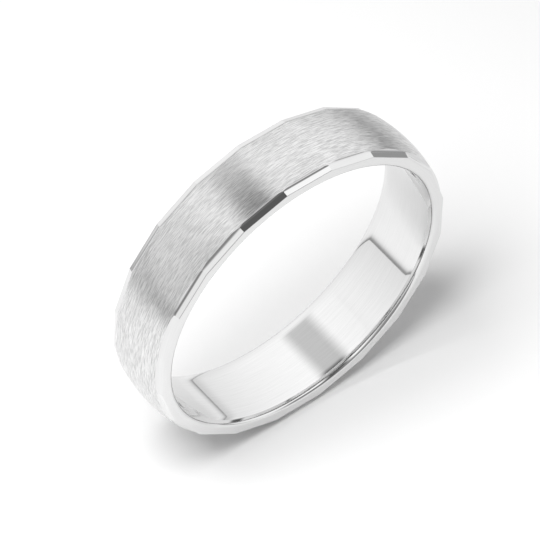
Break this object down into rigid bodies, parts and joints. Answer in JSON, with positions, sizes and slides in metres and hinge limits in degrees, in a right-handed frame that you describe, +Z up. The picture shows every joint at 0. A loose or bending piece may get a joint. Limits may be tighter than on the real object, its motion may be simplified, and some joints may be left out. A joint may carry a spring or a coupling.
{
  "type": "finger ring",
  "caption": "Plain metal ring with a low brushed dome outside, bright flat facets cut round both edges, and a smooth bore eased at both ends.",
  "frame": {"origin": "centre of the finger bore, on its axis and midway between the two side faces", "axes": "+Z up with the band standing on its rim; +Y along the bore axis; -Y is the front side face"},
  "size_m": [0.0228, 0.005, 0.0228],
  "materials": {
    "band_metal": "white precious metal: dome brushed round the ring, facets, side faces and bore polished"
  },
  "bodies": {
    "root": {"band": "band_metal"}
  },
  "joints": []
}
